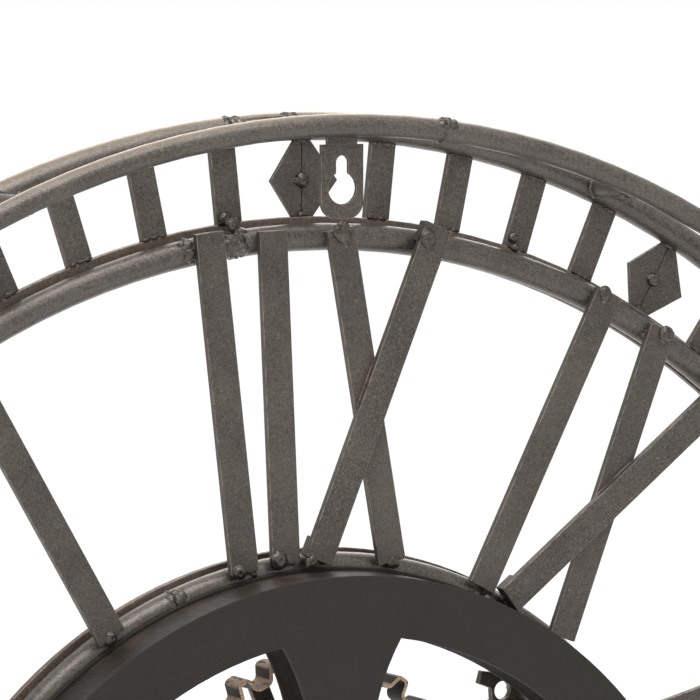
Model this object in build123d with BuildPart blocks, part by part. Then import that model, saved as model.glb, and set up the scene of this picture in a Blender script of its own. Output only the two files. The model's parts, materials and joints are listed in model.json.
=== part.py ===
"""Large round skeleton wall clock in welded steel, with a quartz movement.

Frame: the clock's axis is Y. The front faces -Y, the wall is at +Y, +Z is 12 o'clock and
+X is 3 o'clock seen from the front. Angles named hour_angle run clockwise from 12 o'clock.
"""
from build123d import *
import math
import os

os.makedirs("parts", exist_ok=True)

# ---------------------------------------------------------------- driving dimensions (mm)
CLOCK_RADIUS = 400.0
TUBE_WALL = 1.2

HOURS = 12
HOUR_STEP = 360 / HOURS
MINUTE_STEP = HOUR_STEP / 5

# every ring is butt-welded from rolled lengths; the last number of a ring is the hour angle of one joint
RING_LENGTHS = 8
JOINT_GAP = 0.1

# outer ring pair: (ring radius to the tube's centre, tube radius, depth of the centre, joint)
BACK_TUBE_RADIUS = 5.0
BACK_RING = (CLOCK_RADIUS - BACK_TUBE_RADIUS, BACK_TUBE_RADIUS, 26.0, 38.0)
FRONT_TUBE_RADIUS = 6.35
FRONT_RING = (CLOCK_RADIUS - FRONT_TUBE_RADIUS, FRONT_TUBE_RADIUS, -12.3, 5.5)
SPACER_RADIUS = 4.0
SPACER_COUNT = 8

# numeral rings: a round tube with a flat strip on its front
NUMERAL_TUBE_RADIUS = 6.0
NUMERAL_TUBE_DEPTH = -3.8
MIDDLE_RING = (345.4, NUMERAL_TUBE_RADIUS, NUMERAL_TUBE_DEPTH, 6.8)
INNER_RING = (200.5, NUMERAL_TUBE_RADIUS, NUMERAL_TUBE_DEPTH, 25.0)
STRIP_THICKNESS = 3.0
STRIP_WIDTH = 14.0
STRIP_BACK = NUMERAL_TUBE_DEPTH - NUMERAL_TUBE_RADIUS
MIDDLE_STRIP_RADIUS = 354.0
MIDDLE_STRIP_JOINT = 15.0
INNER_STRIP_RADIUS = 207.8
INNER_STRIP_JOINT = 15.0

# minute track
MINUTE_BAR_WIDTH = 12.2
MINUTE_BAR_THICKNESS = STRIP_THICKNESS
MINUTE_BAR_BACK = STRIP_BACK
MINUTE_BAR_LAP = 2.0
DIAMOND_RADIUS = 369.8
DIAMOND_HALF_WIDTH = 16.7
DIAMOND_HALF_HEIGHT = 23.2
DIAMOND_SHEET = 2.0
DIAMOND_FOLD = 2.2
DIAMOND_CUT_DEPTH = 40.0

# numerals: flat bars on the back of the two numeral rings
NUMERAL_BAR_WIDTH = 13.5
NUMERAL_BAR_THICKNESS = 3.0
NUMERAL_PLANE = NUMERAL_TUBE_DEPTH + NUMERAL_TUBE_RADIUS
NUMERAL_OUTER = 350.0
NUMERAL_INNER = 210.0
NUMERAL_TOP_END = 349.0
NUMERAL_BOTTOM_END = 204.2
PACKER_LENGTH = 9.0
# half the space a letter takes, and half the spread of its strokes: (at the outer, at the inner end)
LETTER_HALF_SPACE = {"I": (15.6, 10.65), "V": (42.4, 24.1), "X": (42.4, 24.1)}
LETTER_SPREAD = {"V": (24.4, 6.5), "X": (24.4, -17.4)}
NUMERAL_TEXT = ["I", "II", "III", "IIII", "V", "VI", "VII", "VIII", "IX", "X", "XI", "XII"]
# the strokes are set by hand; these two numerals stand a little off a regular layout:
# (x at the outer end, x at the inner end, crosses over)
STROKES_BY_HAND = {
    11: [(-5.4, -27.0, False), (-54.1, 4.6, True), (28.2, 21.9, False)],
    12: [(-10.05, -34.7, False), (-58.85, 0.1, True), (23.6, 17.45, False), (54.8, 38.75, False)],
}

# hanger plate with its keyhole, welded to the back ring
HANGER_WIDTH = 21.0
HANGER_TOP = 386.6
HANGER_BOTTOM = 354.4
HANGER_CORNER = 7.5
HANGER_NECK_WIDTH = 15.0
HANGER_THICKNESS = 1.5
HANGER_BACK = 24.0
KEYHOLE_RADIUS = 7.0
KEYHOLE_HEIGHT = 367.7
KEYHOLE_SLOT_WIDTH = 6.1
KEYHOLE_SLOT_TOP = 381.8

# centre disc: a shallow box of two plates with bands round the rim and the windows
DISC_RADIUS = 199.0
DISC_FRONT_RADIUS = 200.6
DISC_FRONT = NUMERAL_PLANE
DISC_BACK = 24.5
DISC_FRONT_PLATE = 1.5
DISC_BACK_PLATE = 2.0
DISC_BAND = 1.5
SPOKE_COUNT = 6
WINDOW_OUTER_RADIUS = 172.4
HUB_RADIUS = 62.0
HUB_CORNER = 7.0
SPOKE_HALF_WIDTH = 14.0
FLARE_START = 116.0
FLARE_RADIUS = 101.8
FLARE_HALVINGS = 40
MOVEMENT_WINDOW = 57.0

# decorative gears in front of the disc: (x, z) centre, tip radius, teeth, angle of one tooth.
# The gear over the rim stands further out, clear of the inner ring.
STRIP_GEARS = {
    "large": ((-8.0, 85.5), 75.0, 27, 59.8),
    "medium": ((82.3, -47.5), 60.0, 21, 90.0),
    "small": ((-90.9, -52.5), 48.0, 18, 90.0),
}
PLATE_GEARS = {
    "rim": ((-117.0, 136.0), 25.0, 9, 176.0),
    "left": ((-103.9, 60.0), 40.0, 14, 90.0),
    "lower": ((0.0, -120.0), 42.0, 15, 90.0),
}
PLATE_GEAR_FRONTS = {"rim": -16.2, "left": -10.0, "lower": -10.0}
GEAR_TOOTH_DEPTH = 7.0
GEAR_ROOT_SHARE = 0.30
GEAR_TIP_SHARE = 0.17
STRIP_GEAR_FOLD = 2.4
STRIP_GEAR_SHEET = 1.6
STRIP_GEAR_FRONT = -25.0
STRIP_GEAR_BACK = -11.7
SPIDER_FRONT = -20.0
SPIDER_THICKNESS = 3.0
SPIDER_ARM_WIDTH = 9.0
SPIDER_HUB_RADIUS = 12.0
SPIDER_ARMS = 3
PLATE_GEAR_THICKNESS = 3.0
PLATE_GEAR_WINDOWS = 5
# radius of a plate gear's windows and of the circle they stand on, as shares of the tip radius
PLATE_GEAR_WINDOW = 0.17
PLATE_GEAR_WINDOW_CIRCLE = 0.48
POST_RADIUS = 5.0
STUD_RADIUS = 3.0
GEAR_NUT_RADIUS = 6.4
GEAR_NUT_THICKNESS = 3.6
STUD_PROUD = 0.4

# quartz movement: outside of the case, and the layers of its train from front to back
CASE_SIZE = 56.0
CASE_FRONT = DISC_FRONT + DISC_FRONT_PLATE
CASE_SPLIT = 13.0
CASE_BACK = 21.0
CASE_WALL = 1.2
CASE_CORNER = 4.0
MIDDLE_PLATE = (12.2, 13.0)
BATTERY_RADIUS = 7.1
BATTERY_LENGTH = 49.0
BATTERY_HEIGHT = -19.8
BAY_TOP = -12.2
BAY_WALL = 1.0
BAY_HALF_LENGTH = 26.6
BUSH_RADIUS = 4.0
BUSH_FRONT = -8.0
BUSH_NUT_RADIUS = 7.6
BUSH_NUT_THICKNESS = 3.0
BUSH_WASHER = (7.5, 0.8)
HOUR_PIPE_RADIUS = 2.6
HOUR_PIPE_FRONT = -27.2
MINUTE_ARBOR_RADIUS = 1.6
MINUTE_ARBOR_FRONT = -30.0
RUNNING_CLEARANCE = 0.05

# hands, set to ten past ten
MINUTE_HAND_ANGLE = 60.0
HOUR_HAND_ANGLE = 305.0
HAND_THICKNESS = 1.0
HOUR_HAND_BACK = -26.0
MINUTE_HAND_BACK = -28.0
HAND_NUT_RADIUS = 4.5
HAND_NUT_FRONT = -31.0

# wheel train: teeth and the distance between each pair of axes
MOTION_DISTANCE = 10.8
THIRD_DISTANCE = 10.56
SECOND_DISTANCE = 10.56
STEP_DISTANCE = 8.4
ROTOR_DISTANCE = 7.2
PINION_TEETH = 12
MOTION_TEETH = 36
HOUR_TEETH = 48
SETTING_TEETH = 16
CENTRE_TEETH = 72
THIRD_TEETH = 120
SECOND_TEETH = 72
STEP_TEETH = 60
PRESSURE_ANGLE = math.radians(20)
TOOTH_SHARE = 0.44
FLANK_POINTS = 4
PIVOT_RADIUS = 0.5
ARBOR_RADIUS = 0.7


# ---------------------------------------------------------------- shared helpers
def depth_plane(depth):
    """The plane across the clock at a depth; its normal points to the front."""
    return Plane.XZ.offset(-depth)


def write_step(piece, name):
    """Label a finished piece and write its STEP file."""
    piece.part.label = name
    export_step(piece.part, f"parts/{name}.step")


def polar(radius, hour_angle):
    """A point on the clock's face, at an angle clockwise from 12 o'clock."""
    turn = math.radians(hour_angle)
    return (radius * math.sin(turn), radius * math.cos(turn))


def ring_bar(ring):
    """A ring as a solid bar, to cope what is welded to it."""
    ring_radius, tube_radius, depth, _ = ring
    with BuildPart() as bar:
        with BuildSketch(Plane.XY):
            with Locations((ring_radius, depth)):
                Circle(tube_radius)
        revolve(axis=Axis.Y)
    return bar.part


def ring_tube(ring):
    """A ring of hollow tube, in its welded lengths."""
    ring_radius, tube_radius, depth, joint = ring
    with BuildPart() as tube:
        with BuildSketch(Plane.XY):
            with Locations((ring_radius, depth)):
                Circle(tube_radius)
                Circle(tube_radius - TUBE_WALL, mode=Mode.SUBTRACT)
        revolve(axis=Axis.Y)
        part_at_joints(ring_radius, joint)
    return tube


def part_at_joints(radius, joint):
    """Part the ring being built into its lengths with hairline gaps."""
    with BuildSketch(depth_plane(CLOCK_RADIUS)) as gaps:
        with PolarLocations(radius, RING_LENGTHS, 90 - joint):
            Rectangle(3 * STRIP_WIDTH, JOINT_GAP)
    extrude(gaps.sketch, amount=2 * CLOCK_RADIUS, mode=Mode.SUBTRACT)


def flat_ring(outer_radius, inner_radius, back, thickness, joint=None):
    """A flat washer-shaped strip across the clock, in its welded lengths if it has joints."""
    with BuildPart() as strip:
        with BuildSketch(depth_plane(back)):
            Circle(outer_radius)
            Circle(inner_radius, mode=Mode.SUBTRACT)
        extrude(amount=thickness)
        if joint is not None:
            part_at_joints((outer_radius + inner_radius) / 2, joint)
    return strip


# ---------------------------------------------------------------- rings
write_step(ring_tube(BACK_RING), "outer_ring_back")
write_step(ring_tube(FRONT_RING), "outer_ring_front")
write_step(ring_tube(MIDDLE_RING), "middle_ring_tube")
write_step(ring_tube(INNER_RING), "inner_ring_tube")

front_ring_bar = ring_bar(FRONT_RING)
back_ring_bar = ring_bar(BACK_RING)

middle_strip_size = (MIDDLE_STRIP_RADIUS, MIDDLE_STRIP_RADIUS - STRIP_WIDTH, STRIP_BACK, STRIP_THICKNESS)
middle_ring_strip = flat_ring(*middle_strip_size, MIDDLE_STRIP_JOINT)
write_step(middle_ring_strip, "middle_ring_strip")
middle_strip_blank = flat_ring(*middle_strip_size).part
inner_strip_size = (INNER_STRIP_RADIUS, INNER_STRIP_RADIUS - STRIP_WIDTH, STRIP_BACK, STRIP_THICKNESS)
write_step(flat_ring(*inner_strip_size, INNER_STRIP_JOINT), "inner_ring_strip")

# short rods hold the two outer rings apart
with BuildPart() as ring_spacers:
    with BuildSketch(depth_plane(BACK_RING[2])):
        with PolarLocations(FRONT_RING[0], SPACER_COUNT, 360 / SPACER_COUNT / 2):
            Circle(SPACER_RADIUS)
    extrude(amount=BACK_RING[2] - FRONT_RING[2])
    add(front_ring_bar, mode=Mode.SUBTRACT)
    add(back_ring_bar, mode=Mode.SUBTRACT)
write_step(ring_spacers, "ring_spacers")

# ---------------------------------------------------------------- minute track
bar_inner_end = MIDDLE_STRIP_RADIUS - STRIP_THICKNESS / 2
bar_outer_end = FRONT_RING[0] - FRONT_RING[1] + MINUTE_BAR_LAP
with BuildPart() as minute_bars:
    with BuildSketch(depth_plane(MINUTE_BAR_BACK)):
        for hour in range(HOURS):
            first_bar = HOUR_STEP * hour + MINUTE_STEP
            with PolarLocations((bar_inner_end + bar_outer_end) / 2, 4, first_bar, 4 * MINUTE_STEP):
                Rectangle(bar_outer_end - bar_inner_end, MINUTE_BAR_WIDTH)
    extrude(amount=MINUTE_BAR_THICKNESS)
    add(front_ring_bar, mode=Mode.SUBTRACT)
    add(middle_strip_blank, mode=Mode.SUBTRACT)
write_step(minute_bars, "minute_bars")

# one folded diamond of sheet, with its fold standing towards the front
with BuildPart() as diamond:
    with BuildSketch(Plane.XY.offset(DIAMOND_RADIUS)):
        with BuildLine():
            Polyline(
                (-DIAMOND_HALF_WIDTH, MINUTE_BAR_BACK),
                (0, MINUTE_BAR_BACK - DIAMOND_FOLD),
                (DIAMOND_HALF_WIDTH, MINUTE_BAR_BACK),
                (DIAMOND_HALF_WIDTH, MINUTE_BAR_BACK - DIAMOND_SHEET),
                (0, MINUTE_BAR_BACK - DIAMOND_FOLD - DIAMOND_SHEET),
                (-DIAMOND_HALF_WIDTH, MINUTE_BAR_BACK - DIAMOND_SHEET),
                close=True,
            )
        make_face()
    extrude(amount=DIAMOND_HALF_HEIGHT, both=True)
    with BuildSketch(depth_plane(0)):
        with BuildLine():
            Polyline(
                (-DIAMOND_HALF_WIDTH, DIAMOND_RADIUS),
                (0, DIAMOND_RADIUS + DIAMOND_HALF_HEIGHT),
                (DIAMOND_HALF_WIDTH, DIAMOND_RADIUS),
                (0, DIAMOND_RADIUS - DIAMOND_HALF_HEIGHT),
                close=True,
            )
        make_face()
    extrude(amount=DIAMOND_CUT_DEPTH, mode=Mode.INTERSECT)

with BuildPart() as hour_diamonds:
    for hour in range(HOURS):
        add(diamond.part.rotate(Axis.Y, HOUR_STEP * hour))
    add(front_ring_bar, mode=Mode.SUBTRACT)
    add(middle_strip_blank, mode=Mode.SUBTRACT)
write_step(hour_diamonds, "hour_diamonds")


# ---------------------------------------------------------------- numerals
def numeral_strokes(hour):
    """Each stroke of a numeral as (x at the outer end, x at the inner end, crosses over)."""
    if hour in STROKES_BY_HAND:
        return STROKES_BY_HAND[hour]
    text = NUMERAL_TEXT[hour - 1]
    cursor = [-sum(LETTER_HALF_SPACE[letter][end] for letter in text) for end in (0, 1)]
    strokes = []
    for letter in text:
        centre = [cursor[end] + LETTER_HALF_SPACE[letter][end] for end in (0, 1)]
        cursor = [centre[end] + LETTER_HALF_SPACE[letter][end] for end in (0, 1)]
        if letter == "I":
            strokes.append((centre[0], centre[1], False))
        else:
            spread = LETTER_SPREAD[letter]
            strokes.append((centre[0] + spread[0], centre[1] + spread[1], False))
            strokes.append((centre[0] - spread[0], centre[1] - spread[1], letter == "X"))
    return strokes


def point_at_radius(start, heading, radius):
    """Where a line from start along heading, a unit vector, reaches a radius."""
    along = start.dot(heading)
    return start + heading * (math.sqrt(along**2 - start.dot(start) + radius**2) - along)


def make_numeral(hour):
    """The flat bars of one numeral, upright at 12 o'clock and then turned to their hour."""
    with BuildPart() as bars:
        for outer_x, inner_x, crosses_over in numeral_strokes(hour):
            inner_end = Vector(inner_x, NUMERAL_INNER)
            heading = (Vector(outer_x, NUMERAL_OUTER) - inner_end).normalized()
            top = inner_end + heading * ((NUMERAL_TOP_END - NUMERAL_INNER) / heading.Y)
            bottom = point_at_radius(inner_end, heading, NUMERAL_BOTTOM_END)
            angle = math.degrees(math.atan2(heading.Y, heading.X))
            front = NUMERAL_PLANE + (NUMERAL_BAR_THICKNESS if crosses_over else 0.0)
            with BuildSketch(depth_plane(front + NUMERAL_BAR_THICKNESS)):
                middle = (top + bottom) / 2
                with Locations(Location((middle.X, middle.Y), angle)):
                    Rectangle((top - bottom).length, NUMERAL_BAR_WIDTH)
            extrude(amount=NUMERAL_BAR_THICKNESS)
            if crosses_over:
                # short packers carry the raised stroke on the two rings
                with BuildSketch(depth_plane(front)):
                    for end in (top - heading * PACKER_LENGTH / 2, bottom + heading * PACKER_LENGTH / 2):
                        with Locations(Location((end.X, end.Y), angle)):
                            Rectangle(PACKER_LENGTH, NUMERAL_BAR_WIDTH)
                extrude(amount=NUMERAL_BAR_THICKNESS)
    with BuildPart() as turned:
        add(bars.part.rotate(Axis.Y, HOUR_STEP * hour))
    return turned


for hour in range(1, HOURS + 1):
    write_step(make_numeral(hour), f"numeral_{hour:02d}")

# ---------------------------------------------------------------- hanger plate
with BuildPart() as hanger_plate:
    with BuildSketch(depth_plane(HANGER_BACK)):
        with Locations((0, (HANGER_TOP + HANGER_BOTTOM) / 2)):
            plate = Rectangle(HANGER_WIDTH, HANGER_TOP - HANGER_BOTTOM)
        fillet(plate.vertices().group_by(Axis.Y)[0], HANGER_CORNER)
        with Locations((0, HANGER_TOP)):
            Rectangle(HANGER_NECK_WIDTH, BACK_RING[0] - HANGER_TOP, align=(Align.CENTER, Align.MIN))
        with Locations((0, KEYHOLE_HEIGHT)):
            Circle(KEYHOLE_RADIUS, mode=Mode.SUBTRACT)
        slot_end = KEYHOLE_SLOT_TOP - KEYHOLE_SLOT_WIDTH / 2
        with Locations((0, KEYHOLE_HEIGHT)):
            Rectangle(
                KEYHOLE_SLOT_WIDTH,
                slot_end - KEYHOLE_HEIGHT,
                align=(Align.CENTER, Align.MIN),
                mode=Mode.SUBTRACT,
            )
        with Locations((0, slot_end)):
            Circle(KEYHOLE_SLOT_WIDTH / 2, mode=Mode.SUBTRACT)
    extrude(amount=HANGER_THICKNESS)
    add(back_ring_bar, mode=Mode.SUBTRACT)
write_step(hanger_plate, "hanger_plate")


# ---------------------------------------------------------------- centre disc
def spoke_point(height, side, spoke_angle):
    """A point on a spoke's edge; side is +1 or -1, height runs out along the spoke."""
    half_width = SPOKE_HALF_WIDTH
    if height > FLARE_START:
        rise = height - FLARE_START
        half_width += FLARE_RADIUS - math.sqrt(FLARE_RADIUS**2 - rise**2)
    turn = math.radians(spoke_angle)
    x, z = side * half_width, height
    return (x * math.cos(turn) + z * math.sin(turn), z * math.cos(turn) - x * math.sin(turn))


def flare_top():
    """How far out along its spoke the flare meets the windows' outer arc."""
    low, high = FLARE_START, WINDOW_OUTER_RADIUS
    for _ in range(FLARE_HALVINGS):
        height = (low + high) / 2
        if math.hypot(*spoke_point(height, 1, 0)) > WINDOW_OUTER_RADIUS:
            high = height
        else:
            low = height
    return low


spoke_step = 360 / SPOKE_COUNT
flare_end = flare_top()
flare_middle = (FLARE_START + flare_end) / 2
hub_height = math.sqrt(HUB_RADIUS**2 - SPOKE_HALF_WIDTH**2)
with BuildSketch() as window:
    with BuildLine():
        Line(spoke_point(hub_height, 1, 0), spoke_point(FLARE_START, 1, 0))
        ThreePointArc(
            spoke_point(FLARE_START, 1, 0),
            spoke_point(flare_middle, 1, 0),
            spoke_point(flare_end, 1, 0),
        )
        ThreePointArc(
            spoke_point(flare_end, 1, 0),
            polar(WINDOW_OUTER_RADIUS, spoke_step / 2),
            spoke_point(flare_end, -1, spoke_step),
        )
        ThreePointArc(
            spoke_point(flare_end, -1, spoke_step),
            spoke_point(flare_middle, -1, spoke_step),
            spoke_point(FLARE_START, -1, spoke_step),
        )
        Line(spoke_point(FLARE_START, -1, spoke_step), spoke_point(hub_height, -1, spoke_step))
        ThreePointArc(
            spoke_point(hub_height, -1, spoke_step),
            polar(HUB_RADIUS, spoke_step / 2),
            spoke_point(hub_height, 1, 0),
        )
    make_face()
    fillet(window.vertices().sort_by_distance((0, 0, 0))[:2], HUB_CORNER)

band_front = DISC_FRONT + DISC_FRONT_PLATE
band_back = DISC_BACK - DISC_BACK_PLATE
band_outline = offset(window.sketch, DISC_BAND, kind=Kind.INTERSECTION, mode=Mode.PRIVATE)

with BuildPart() as disc_back_plate:
    with BuildSketch(depth_plane(DISC_BACK)):
        Circle(DISC_RADIUS)
        with PolarLocations(0, SPOKE_COUNT):
            add(window.sketch, mode=Mode.SUBTRACT)
        RectangleRounded(MOVEMENT_WINDOW, MOVEMENT_WINDOW, CASE_CORNER, mode=Mode.SUBTRACT)
    extrude(amount=DISC_BACK_PLATE)
write_step(disc_back_plate, "disc_back_plate")

with BuildPart() as disc_front_plate:
    with BuildSketch(depth_plane(band_front)):
        Circle(DISC_FRONT_RADIUS)
        with PolarLocations(0, SPOKE_COUNT):
            add(window.sketch, mode=Mode.SUBTRACT)
        Circle(BUSH_RADIUS + RUNNING_CLEARANCE, mode=Mode.SUBTRACT)
    extrude(amount=DISC_FRONT_PLATE)
write_step(disc_front_plate, "disc_front_plate")

disc_rim_band = flat_ring(DISC_RADIUS, DISC_RADIUS - DISC_BAND, band_back, band_back - band_front)
write_step(disc_rim_band, "disc_rim_band")

with BuildPart() as disc_window_bands:
    with BuildSketch(depth_plane(band_back)):
        with PolarLocations(0, SPOKE_COUNT):
            add(band_outline)
            add(window.sketch, mode=Mode.SUBTRACT)
    extrude(amount=band_back - band_front)
write_step(disc_window_bands, "disc_window_bands")


# ---------------------------------------------------------------- decorative gears
def tooth_outline(centre, tip_radius, teeth, first_angle):
    """Corners of a gear with straight-sided teeth; angles run from +X towards +Z."""
    root_radius = tip_radius - GEAR_TOOTH_DEPTH
    pitch = 360 / teeth
    corners = [
        (-GEAR_ROOT_SHARE, root_radius),
        (-GEAR_TIP_SHARE, tip_radius),
        (GEAR_TIP_SHARE, tip_radius),
        (GEAR_ROOT_SHARE, root_radius),
    ]
    points = []
    for tooth in range(teeth):
        middle = first_angle + tooth * pitch
        for share, radius in corners:
            turn = math.radians(middle + share * pitch)
            points.append((centre[0] + radius * math.cos(turn), centre[1] + radius * math.sin(turn)))
    return points


def strip_gear_rim(centre, tip_radius, teeth, first_angle):
    """A rim of sheet strip folded into teeth."""
    with BuildSketch() as outline:
        with BuildLine():
            Polyline(*tooth_outline(centre, tip_radius, teeth, first_angle), close=True)
        make_face()
        fillet(outline.vertices(), STRIP_GEAR_FOLD)
    inside = offset(outline.sketch, -STRIP_GEAR_SHEET, kind=Kind.INTERSECTION, mode=Mode.PRIVATE)
    with BuildPart() as rim:
        with BuildSketch(depth_plane(STRIP_GEAR_BACK)):
            add(outline.sketch)
            add(inside, mode=Mode.SUBTRACT)
        extrude(amount=STRIP_GEAR_BACK - STRIP_GEAR_FRONT)
    return rim


def strip_gear_spider(centre, tip_radius, teeth, first_angle, rim):
    """A hub with three arms that reach the folds of the rim."""
    reach = tip_radius - GEAR_TOOTH_DEPTH - STRIP_GEAR_SHEET / 2
    first_gap = first_angle + 180 / teeth
    with BuildPart() as spider:
        with BuildSketch(depth_plane(SPIDER_FRONT + SPIDER_THICKNESS)):
            with Locations(centre):
                Circle(SPIDER_HUB_RADIUS)
                with PolarLocations(reach / 2, SPIDER_ARMS, first_gap):
                    Rectangle(reach, SPIDER_ARM_WIDTH)
                Circle(STUD_RADIUS, mode=Mode.SUBTRACT)
        extrude(amount=SPIDER_THICKNESS)
        add(rim.part, mode=Mode.SUBTRACT)
    return spider


for size, (centre, tip_radius, teeth, first_angle) in STRIP_GEARS.items():
    gear_rim = strip_gear_rim(centre, tip_radius, teeth, first_angle)
    write_step(gear_rim, f"strip_gear_{size}_rim")
    gear_spider = strip_gear_spider(centre, tip_radius, teeth, first_angle, gear_rim)
    write_step(gear_spider, f"strip_gear_{size}_spider")


def plate_gear(centre, tip_radius, teeth, first_angle, front):
    """A gear cut from plate, with a ring of round windows."""
    with BuildPart() as gear:
        with BuildSketch(depth_plane(front + PLATE_GEAR_THICKNESS)):
            with BuildLine():
                Polyline(*tooth_outline(centre, tip_radius, teeth, first_angle), close=True)
            make_face()
            with Locations(centre):
                Circle(STUD_RADIUS, mode=Mode.SUBTRACT)
                with PolarLocations(tip_radius * PLATE_GEAR_WINDOW_CIRCLE, PLATE_GEAR_WINDOWS):
                    Circle(tip_radius * PLATE_GEAR_WINDOW, mode=Mode.SUBTRACT)
        extrude(amount=PLATE_GEAR_THICKNESS)
    return gear


for place, shape in PLATE_GEARS.items():
    write_step(plate_gear(*shape, PLATE_GEAR_FRONTS[place]), f"plate_gear_{place}")

# every gear sits on a shouldered post on the disc, under a nut
gear_seats = [(gear[0], SPIDER_FRONT, SPIDER_THICKNESS) for gear in STRIP_GEARS.values()]
gear_seats += [
    (gear[0], PLATE_GEAR_FRONTS[place], PLATE_GEAR_THICKNESS) for place, gear in PLATE_GEARS.items()
]

with BuildPart() as gear_posts:
    for centre, gear_front, gear_thickness in gear_seats:
        with BuildSketch(depth_plane(DISC_FRONT)):
            with Locations(centre):
                Circle(POST_RADIUS)
        extrude(amount=DISC_FRONT - gear_front - gear_thickness)
        with BuildSketch(depth_plane(gear_front + gear_thickness)):
            with Locations(centre):
                Circle(STUD_RADIUS)
        extrude(amount=gear_thickness + GEAR_NUT_THICKNESS + STUD_PROUD)
write_step(gear_posts, "gear_posts")

with BuildPart() as gear_nuts:
    for centre, gear_front, _ in gear_seats:
        with BuildSketch(depth_plane(gear_front)):
            with Locations(centre):
                RegularPolygon(GEAR_NUT_RADIUS, 6)
                Circle(STUD_RADIUS, mode=Mode.SUBTRACT)
        extrude(amount=GEAR_NUT_THICKNESS)
write_step(gear_nuts, "gear_nuts")

# ---------------------------------------------------------------- movement: places of its axes
CENTRE_AXIS = (0.0, 0.0)


def from_axis(axis, distance, angle):
    """A point at a distance from an axis; the angle runs from +X towards +Z."""
    turn = math.radians(angle)
    return (axis[0] + distance * math.cos(turn), axis[1] + distance * math.sin(turn))


MOTION_DIRECTION = 130.0
SETTING_DIRECTION = 168.7
THIRD_DIRECTION = 30.5
SECOND_DIRECTION = 120.0
STEP_DIRECTION = 153.9
ROTOR_DIRECTION = 162.5
motion_module = 2 * MOTION_DISTANCE / (PINION_TEETH + MOTION_TEETH)
hour_module = 2 * MOTION_DISTANCE / (PINION_TEETH + HOUR_TEETH)
third_module = 2 * THIRD_DISTANCE / (PINION_TEETH + CENTRE_TEETH)
second_module = 2 * SECOND_DISTANCE / (PINION_TEETH + THIRD_TEETH)
step_module = 2 * STEP_DISTANCE / (PINION_TEETH + SECOND_TEETH)
rotor_module = 2 * ROTOR_DISTANCE / (PINION_TEETH + STEP_TEETH)
setting_distance = motion_module * (MOTION_TEETH + SETTING_TEETH) / 2
motion_axis = from_axis(CENTRE_AXIS, MOTION_DISTANCE, MOTION_DIRECTION)
setting_axis = from_axis(motion_axis, setting_distance, SETTING_DIRECTION)
third_axis = from_axis(CENTRE_AXIS, THIRD_DISTANCE, THIRD_DIRECTION)
second_axis = from_axis(third_axis, SECOND_DISTANCE, SECOND_DIRECTION)
step_axis = from_axis(second_axis, STEP_DISTANCE, STEP_DIRECTION)
rotor_axis = from_axis(step_axis, ROTOR_DISTANCE, ROTOR_DIRECTION)


def mesh_phase(direction, driver_teeth, driver_phase, driven_teeth):
    """Angle of a tooth on the driven gear that leaves a gap at the driver's teeth."""
    pitch = 360 / driver_teeth
    offset_from_line = (driver_phase - direction) % pitch
    return direction + 180 - offset_from_line * driver_teeth / driven_teeth + 180 / driven_teeth


def involute(angle):
    """The involute function of a pressure angle in radians."""
    return math.tan(angle) - angle


def involute_outline(axis, teeth, module, phase, addendum=0.75, dedendum=1.15):
    """Corners of an involute gear with a little backlash."""
    pitch_radius = module * teeth / 2
    base_radius = pitch_radius * math.cos(PRESSURE_ANGLE)
    tip_radius = pitch_radius + addendum * module
    root_radius = pitch_radius - dedendum * module
    start_radius = max(base_radius, root_radius)
    half_tooth = TOOTH_SHARE * math.pi / teeth + involute(PRESSURE_ANGLE)
    flank = []
    if root_radius < base_radius:
        flank.append((root_radius, half_tooth))
    for point in range(FLANK_POINTS):
        radius = start_radius + (tip_radius - start_radius) * point / (FLANK_POINTS - 1)
        flank.append((radius, half_tooth - involute(math.acos(min(1.0, base_radius / radius)))))
    corners = [(radius, -turn) for radius, turn in flank]
    corners += [(radius, turn) for radius, turn in reversed(flank)]
    points = []
    for tooth in range(teeth):
        middle = math.radians(phase) + 2 * math.pi * tooth / teeth
        for radius, turn in corners:
            x = axis[0] + radius * math.cos(middle + turn)
            z = axis[1] + radius * math.sin(middle + turn)
            points.append((x, z))
    return points


def add_gear(axis, teeth, module, phase, front, back):
    """Extrude an involute gear into the part being built."""
    with BuildSketch(depth_plane(back)) as gear_face:
        with BuildLine():
            Polyline(*involute_outline(axis, teeth, module, phase), close=True)
        make_face()
    extrude(gear_face.sketch, amount=back - front)


def add_round(axis, radius, front, back, mode=Mode.ADD):
    """Extrude a round length of arbor, or cut a round hole, between two depths."""
    with BuildSketch(depth_plane(back)) as round_face:
        with Locations(axis):
            Circle(radius)
    extrude(round_face.sketch, amount=back - front, mode=mode)


def add_block(x_span, z_span, front, back, mode=Mode.ADD):
    """Extrude a rectangle given by its sides into the part being built."""
    with BuildSketch(depth_plane(back)) as block_face:
        with Locations((x_span[0], z_span[0])):
            Rectangle(x_span[1] - x_span[0], z_span[1] - z_span[0], align=(Align.MIN, Align.MIN))
    extrude(block_face.sketch, amount=back - front, mode=mode)


# depths of the train, from the motion work in front of the middle plate to the rotor behind it
HOUR_WHEEL = (6.4, 7.6)
HOUR_PINION = (6.2, 9.4)
HOUR_PIPE_BACK = 8.6
MOTION_WHEEL = (9.4, 10.8)
CANNON_PINION = (9.2, 11.2)
CENTRE_WHEEL = (13.5, 14.2)
THIRD_PINION = (13.3, 14.4)
THIRD_WHEEL = (14.7, 15.4)
SECOND_PINION = (14.6, 15.7)
SECOND_WHEEL = (16.1, 16.8)
STEP_PINION = (16.0, 17.1)
STEP_WHEEL = (17.5, 18.2)
ROTOR_PINION = (17.4, 18.5)
ROTOR_MAGNET = (13.5, 16.9)
ROTOR_MAGNET_RADIUS = 2.8
FRONT_INSIDE = CASE_FRONT + CASE_WALL
BACK_INSIDE = CASE_BACK - CASE_WALL
PIVOT_DEPTH = 0.6
END_SHAKE = 0.1
SETTING_STEM_RADIUS = 1.4
KNOB_RADIUS = 4.6
KNOB_FRONT = CASE_BACK + 0.3
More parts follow.
